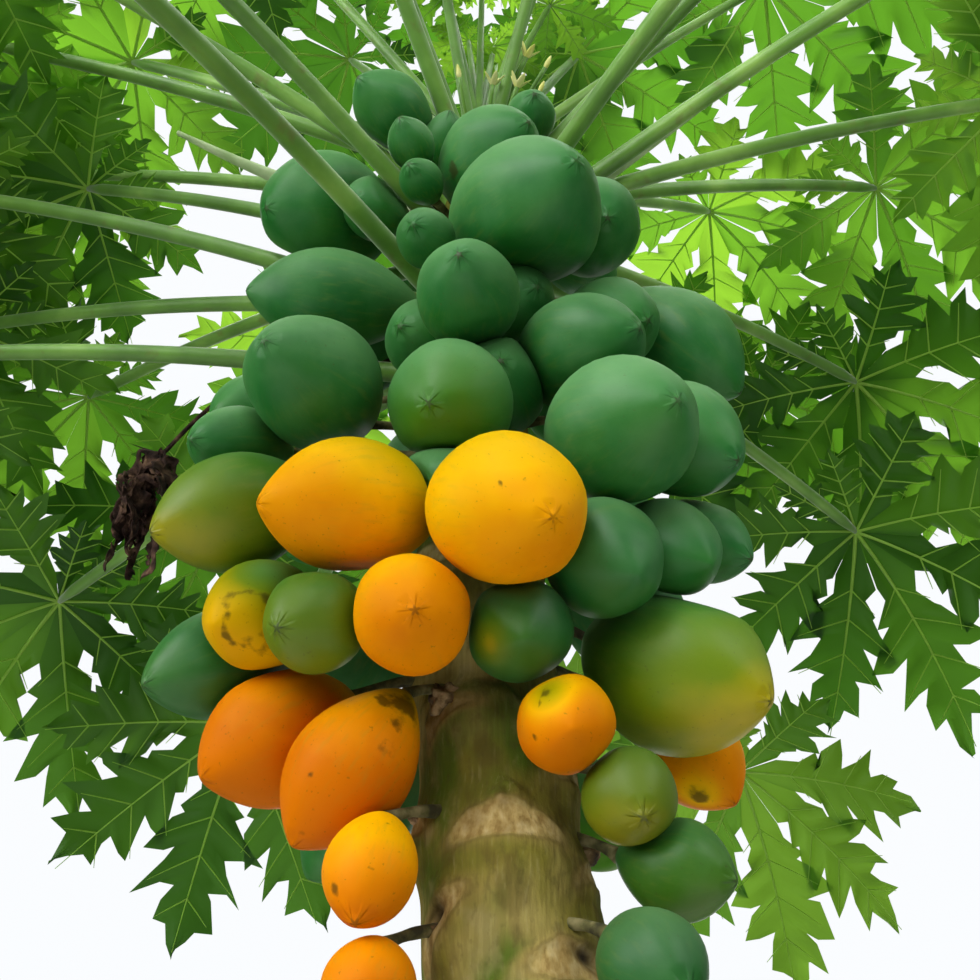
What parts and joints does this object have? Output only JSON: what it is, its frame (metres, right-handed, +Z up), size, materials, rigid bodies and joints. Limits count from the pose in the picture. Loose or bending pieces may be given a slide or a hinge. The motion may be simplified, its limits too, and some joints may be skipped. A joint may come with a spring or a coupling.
{
  "type": "papaya plant",
  "caption": "Papaya plant with a leaning bare trunk, a dense column of green and ripe fruits and a crown of large lobed leaves on long stalks.",
  "frame": {"origin": "middle of the flat cut under the trunk at ground level", "axes": "+Z up, -Y towards the side the picture was taken from, +X to that view's right"},
  "size_m": [2.3004, 2.1502, 3.4988],
  "materials": {
    "leaf": "satin leaf",
    "young_leaf": "satin young leaf",
    "dead_leaf": "matt, dry and shrivelled",
    "fruit_orange": "satin ripe skin",
    "fruit_green": "satin skin with a waxy bloom",
    "fruit_olive": "satin skin with a waxy bloom",
    "fruit_yellow": "satin ripe skin",
    "bark": "matt, ringed with leaf scars"
  },
  "bodies": {
    "root": {"leaf_01": "leaf", "leaf_02": "leaf", "leaf_03": "leaf", "leaf_04": "leaf", "leaf_05": "leaf", "leaf_06": "leaf", "leaf_07": "leaf", "leaf_08": "leaf", "leaf_09": "leaf", "leaf_10": "leaf", "leaf_11": "leaf", "leaf_12": "leaf", "leaf_13": "leaf", "leaf_14": "leaf", "leaf_15": "leaf", "leaf_16": "leaf", "leaf_17": "leaf", "leaf_18": "leaf", "leaf_19": "leaf", "leaf_20": "leaf", "leaf_21": "leaf", "leaf_22": "leaf", "leaf_23": "leaf", "leaf_24": "leaf", "leaf_25": "leaf", "leaf_26": "leaf", "leaf_27": "leaf", "leaf_28": "leaf", "leaf_29": "leaf", "leaf_30": "leaf", "leaf_31": "leaf", "leaf_32": "leaf", "leaf_33": "leaf", "leaf_34": "leaf", "leaf_35": "leaf", "leaf_36": "leaf", "leaf_37": "leaf", "leaf_38": "leaf", "leaf_39": "leaf", "leaf_40": "leaf", "leaf_41": "leaf", "young_leaves": "young_leaf", "dead_leaf": "dead_leaf", "fruits_01": "fruit_orange", "fruits_02": "fruit_green", "fruits_03": "fruit_olive", "fruits_04": "fruit_orange", "fruits_05": "fruit_yellow", "fruits_06": "fruit_green", "fruits_07": "fruit_green", "fruits_08": "fruit_green", "fruits_09": "fruit_green", "fruits_10": "fruit_green", "fruits_11": "fruit_green", "fruits_12": "fruit_green", "fruits_13": "fruit_green", "fruits_14": "fruit_green", "fruits_15": "fruit_green", "trunk": "bark"}
  },
  "joints": []
}
